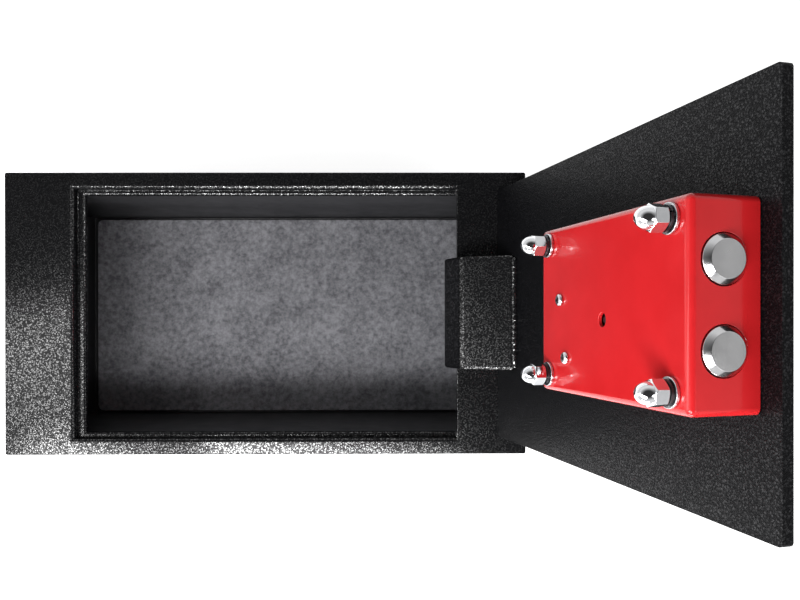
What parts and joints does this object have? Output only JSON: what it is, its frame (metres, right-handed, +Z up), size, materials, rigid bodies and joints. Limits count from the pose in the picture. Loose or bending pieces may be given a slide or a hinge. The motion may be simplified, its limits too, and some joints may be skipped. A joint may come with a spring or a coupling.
{
  "type": "floor safe",
  "caption": "Flanged steel floor safe with a lift-up door on a concealed goose-neck hinge, round locking bolts under a red lock cover and a felt floor mat.",
  "frame": {"origin": "centre of the box's flat underside, which the safe stands on", "axes": "+Z up out of the floor through the door mouth, +X towards the hinge side, +Y along the hinge pin"},
  "size_m": [0.4311, 0.206, 0.3983],
  "materials": {
    "sparkle_black": "coarse sparkling textured powder coat",
    "grain_black": "fine leather-grain powder coat",
    "smooth_black": "satin smooth powder coat",
    "felt": "mottled grey needle felt",
    "red_paint": "high gloss",
    "chrome": "polished",
    "zinc_plate": "bright zinc plate",
    "dark_steel": "oiled spring steel",
    "satin_steel": "satin",
    "black_plastic": "fine moulded grain",
    "grey_plastic": "matte moulded",
    "green_board": "solder mask",
    "battery_sleeve": "plain wrapped sleeve",
    "brass": "satin"
  },
  "bodies": {
    "safe_box": {"face_frame": "sparkle_black", "body_shell": "smooth_black", "felt_mat": "felt", "hinge_bracket": "smooth_black", "hinge_pin": "zinc_plate"},
    "door": {"hinge_arm": "sparkle_black", "door_plate": "grain_black", "lock_cover": "red_paint", "cover_stud_1": "zinc_plate", "cover_stud_2": "zinc_plate", "cover_stud_3": "zinc_plate", "cover_stud_4": "zinc_plate", "flat_washer_1": "zinc_plate", "flat_washer_2": "zinc_plate", "flat_washer_3": "zinc_plate", "flat_washer_4": "zinc_plate", "spring_washer_1": "dark_steel", "spring_washer_2": "dark_steel", "spring_washer_3": "dark_steel", "spring_washer_4": "dark_steel", "acorn_nut_1": "chrome", "acorn_nut_2": "chrome", "acorn_nut_3": "chrome", "acorn_nut_4": "chrome", "bolt_guide": "zinc_plate", "knob_cup": "satin_steel", "lock_motor": "satin_steel", "battery": "battery_sleeve", "battery_holder": "black_plastic", "circuit_board": "green_board", "keypad_cable": "grey_plastic", "board_spacer_1": "zinc_plate", "board_spacer_2": "zinc_plate", "board_screw_1": "zinc_plate", "board_screw_2": "zinc_plate", "keypad_housing": "black_plastic", "power_contact_1": "brass", "power_contact_2": "brass"},
    "bolt_carriage": {"bolt_carrier": "satin_steel", "locking_bolt_upper": "chrome", "locking_bolt_lower": "chrome", "bolt_screw_upper": "zinc_plate", "bolt_screw_lower": "zinc_plate"},
    "turn_knob": {"thumb_turn": "chrome", "drive_cam": "zinc_plate", "cam_screw": "zinc_plate"},
    "block": {"blocking_pin": "zinc_plate"},
    "reset": {"reset_button": "black_plastic"},
    "key_1": {"key_1": "grey_plastic"},
    "key_2": {"key_2": "grey_plastic"},
    "key_3": {"key_3": "grey_plastic"},
    "key_4": {"key_4": "grey_plastic"},
    "key_5": {"key_5": "grey_plastic"},
    "key_6": {"key_6": "grey_plastic"},
    "key_7": {"key_7": "grey_plastic"},
    "key_8": {"key_8": "grey_plastic"},
    "key_9": {"key_9": "grey_plastic"},
    "key_0": {"key_0": "grey_plastic"},
    "key_clear": {"key_clear": "grey_plastic"},
    "key_enter": {"key_enter": "grey_plastic"}
  },
  "joints": [
    {"name": "door_swing", "type": "hinge", "parent": "safe_box", "child": "door", "pos_m": [0.156, 0, 0.1145], "axis": [0, -1, 0], "range_deg": [0, 104.05]},
    {"name": "bolt_slide", "type": "slide", "parent": "door", "child": "bolt_carriage", "axis": [0.2432, 0, 0.97], "range_m": [0, 0.016]},
    {"name": "knob_turn", "type": "hinge", "parent": "door", "child": "turn_knob", "pos_m": [0.21629, 0, 0.31872], "axis": [0.97, 0, -0.2432], "range_deg": [0, 90]},
    {"name": "blocking_pin_slide", "type": "slide", "parent": "door", "child": "block", "axis": [0, 1, 0], "range_m": [0, 0.005]},
    {"name": "reset_press", "type": "slide", "parent": "door", "child": "reset", "axis": [0.97, 0, -0.2432], "range_m": [0, 0.001], "stiffness_N_per_m": 300},
    {"name": "key_1_press", "type": "slide", "parent": "door", "child": "key_1", "axis": [-0.97, 0, 0.2432], "range_m": [0, 0.0012], "stiffness_N_per_m": 300},
    {"name": "key_2_press", "type": "slide", "parent": "door", "child": "key_2", "axis": [-0.97, 0, 0.2432], "range_m": [0, 0.0012], "stiffness_N_per_m": 300},
    {"name": "key_3_press", "type": "slide", "parent": "door", "child": "key_3", "axis": [-0.97, 0, 0.2432], "range_m": [0, 0.0012], "stiffness_N_per_m": 300},
    {"name": "key_4_press", "type": "slide", "parent": "door", "child": "key_4", "axis": [-0.97, 0, 0.2432], "range_m": [0, 0.0012], "stiffness_N_per_m": 300},
    {"name": "key_5_press", "type": "slide", "parent": "door", "child": "key_5", "axis": [-0.97, 0, 0.2432], "range_m": [0, 0.0012], "stiffness_N_per_m": 300},
    {"name": "key_6_press", "type": "slide", "parent": "door", "child": "key_6", "axis": [-0.97, 0, 0.2432], "range_m": [0, 0.0012], "stiffness_N_per_m": 300},
    {"name": "key_7_press", "type": "slide", "parent": "door", "child": "key_7", "axis": [-0.97, 0, 0.2432], "range_m": [0, 0.0012], "stiffness_N_per_m": 300},
    {"name": "key_8_press", "type": "slide", "parent": "door", "child": "key_8", "axis": [-0.97, 0, 0.2432], "range_m": [0, 0.0012], "stiffness_N_per_m": 300},
    {"name": "key_9_press", "type": "slide", "parent": "door", "child": "key_9", "axis": [-0.97, 0, 0.2432], "range_m": [0, 0.0012], "stiffness_N_per_m": 300},
    {"name": "key_0_press", "type": "slide", "parent": "door", "child": "key_0", "axis": [-0.97, 0, 0.2432], "range_m": [0, 0.0012], "stiffness_N_per_m": 300},
    {"name": "key_clear_press", "type": "slide", "parent": "door", "child": "key_clear", "axis": [-0.97, 0, 0.2432], "range_m": [0, 0.0012], "stiffness_N_per_m": 300},
    {"name": "key_enter_press", "type": "slide", "parent": "door", "child": "key_enter", "axis": [-0.97, 0, 0.2432], "range_m": [0, 0.0012], "stiffness_N_per_m": 300}
  ],
  "couplings": [
    {"joint": "knob_turn", "follows": "bolt_slide", "rad_per_m": 98.175}
  ]
}
